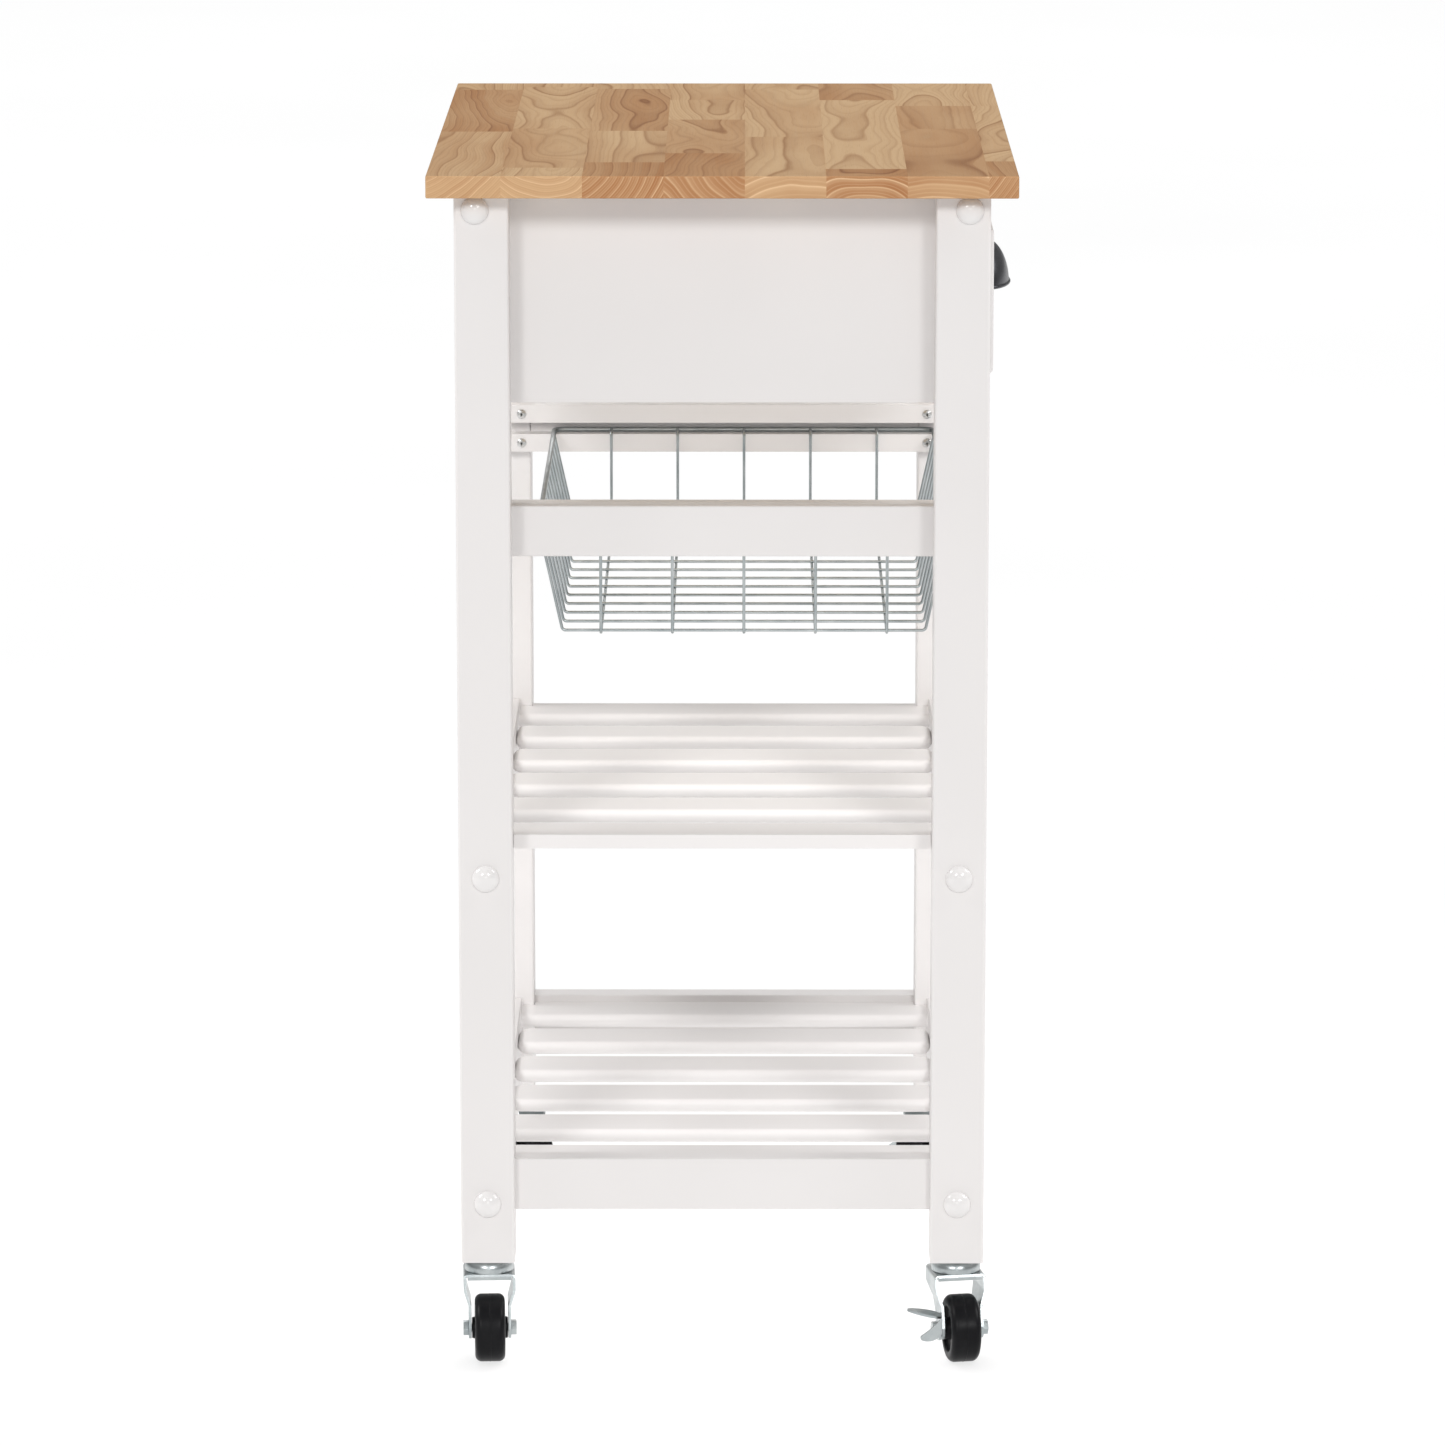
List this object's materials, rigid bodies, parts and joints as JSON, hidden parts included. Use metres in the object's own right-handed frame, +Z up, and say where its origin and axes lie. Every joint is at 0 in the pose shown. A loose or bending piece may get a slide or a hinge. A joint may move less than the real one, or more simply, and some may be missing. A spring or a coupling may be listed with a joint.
{
  "type": "kitchen island cart",
  "caption": "White wooden kitchen cart on swivel casters: butcher-block top, drawer with cup pull, sliding wire basket and slatted shelves.",
  "frame": {"origin": "on the floor under the middle of the frame", "axes": "+Z up, +X along the length, the drawer opens towards -Y"},
  "size_m": [0.5849, 0.4252, 0.876],
  "materials": {
    "butcher_block": "satin lacquered rubberwood strips",
    "white_paint": "satin warm white paint on wood",
    "plain_wood": "bare pale wood",
    "zinc_plate": "bright zinc plate",
    "plated_steel": "plated steel fasteners",
    "black_wheel": "black moulded wheel",
    "dark_pewter": "dark pewter plate",
    "white_cap": "glossy white moulded cap"
  },
  "bodies": {
    "frame": {"back_panel": "white_paint", "barrel_nuts": "plated_steel", "bolt_caps": "white_cap", "caster_stem_back_left": "zinc_plate", "caster_stem_back_right": "zinc_plate", "caster_stem_front_left": "zinc_plate", "caster_stem_front_right": "zinc_plate", "cross_rail_left": "white_paint", "cross_rail_right": "white_paint", "drawer_guide_left": "plain_wood", "drawer_guide_right": "plain_wood", "end_panel_left": "white_paint", "end_panel_right": "white_paint", "frame_bolts": "plated_steel", "front_lower_rail": "white_paint", "front_top_rail": "white_paint", "leg_back_left": "white_paint", "leg_back_right": "white_paint", "leg_front_left": "white_paint", "leg_front_right": "white_paint", "lower_end_rail_left": "white_paint", "lower_end_rail_right": "white_paint", "lower_rail_back": "white_paint", "lower_rail_front": "white_paint", "lower_runner_left": "white_paint", "lower_runner_right": "white_paint", "lower_shelf_slats": "white_paint", "mid_rail_back": "white_paint", "mid_rail_front": "white_paint", "mid_shelf_slats": "white_paint", "stem_inserts": "plated_steel", "table_top": "butcher_block", "top_cleats": "plain_wood", "upper_runner_left": "white_paint", "upper_runner_right": "white_paint", "wood_screws": "plated_steel"},
    "drawer": {"drawer_front": "white_paint", "drawer_side_left": "plain_wood", "drawer_side_right": "plain_wood", "drawer_back": "plain_wood", "drawer_bottom": "plain_wood", "cup_pull": "dark_pewter", "pull_screws": "plated_steel"},
    "basket": {"basket_rim": "zinc_plate", "basket_cross_wires": "zinc_plate", "basket_long_wires": "zinc_plate"},
    "fork_front_left": {"caster_fork_front_left": "zinc_plate", "caster_axle_front_left": "zinc_plate"},
    "wheel_front_left": {"caster_wheel_front_left": "black_wheel"},
    "brake_front_left": {"brake_lever_front_left": "zinc_plate"},
    "fork_back_left": {"caster_fork_back_left": "zinc_plate", "caster_axle_back_left": "zinc_plate"},
    "wheel_back_left": {"caster_wheel_back_left": "black_wheel"},
    "fork_front_right": {"caster_fork_front_right": "zinc_plate", "caster_axle_front_right": "zinc_plate"},
    "wheel_front_right": {"caster_wheel_front_right": "black_wheel"},
    "brake_front_right": {"brake_lever_front_right": "zinc_plate"},
    "fork_back_right": {"caster_fork_back_right": "zinc_plate", "caster_axle_back_right": "zinc_plate"},
    "wheel_back_right": {"caster_wheel_back_right": "black_wheel"}
  },
  "joints": [
    {"name": "drawer_slide", "type": "slide", "parent": "frame", "child": "drawer", "axis": [0, -1, 0], "range_m": [0, 0.25]},
    {"name": "basket_slide", "type": "slide", "parent": "frame", "child": "basket", "axis": [0, -1, 0], "range_m": [0, 0.25]},
    {"name": "swivel_front_left", "type": "hinge", "parent": "frame", "child": "fork_front_left", "pos_m": [-0.2495, -0.1715, 0.062], "axis": [0, 0, 1], "continuous": true},
    {"name": "wheel_spin_front_left", "type": "hinge", "parent": "fork_front_left", "child": "wheel_front_left", "pos_m": [-0.27018, -0.17515, 0.025], "axis": [0.1736, -0.9848, 0], "continuous": true},
    {"name": "brake_rock_front_left", "type": "hinge", "parent": "fork_front_left", "child": "brake_front_left", "pos_m": [-0.27018, -0.17515, 0.025], "axis": [0.1736, -0.9848, 0], "range_deg": [-20, 20]},
    {"name": "swivel_back_left", "type": "hinge", "parent": "frame", "child": "fork_back_left", "pos_m": [-0.2495, 0.1715, 0.062], "axis": [0, 0, 1], "continuous": true},
    {"name": "wheel_spin_back_left", "type": "hinge", "parent": "fork_back_left", "child": "wheel_back_left", "pos_m": [-0.27047, 0.1704, 0.025], "axis": [0.0523, -0.9986, 0], "continuous": true},
    {"name": "swivel_front_right", "type": "hinge", "parent": "frame", "child": "fork_front_right", "pos_m": [0.2495, -0.1715, 0.062], "axis": [0, 0, 1], "continuous": true},
    {"name": "wheel_spin_front_right", "type": "hinge", "parent": "fork_front_right", "child": "wheel_front_right", "pos_m": [0.23273, -0.15886, 0.025], "axis": [-0.6018, -0.7986, 0], "continuous": true},
    {"name": "brake_rock_front_right", "type": "hinge", "parent": "fork_front_right", "child": "brake_front_right", "pos_m": [0.23273, -0.15886, 0.025], "axis": [-0.6018, -0.7986, 0], "range_deg": [-20, 20]},
    {"name": "swivel_back_right", "type": "hinge", "parent": "frame", "child": "fork_back_right", "pos_m": [0.2495, 0.1715, 0.062], "axis": [0, 0, 1], "continuous": true},
    {"name": "wheel_spin_back_right", "type": "hinge", "parent": "fork_back_right", "child": "wheel_back_right", "pos_m": [0.23273, 0.15886, 0.025], "axis": [0.6018, -0.7986, 0], "continuous": true}
  ]
}
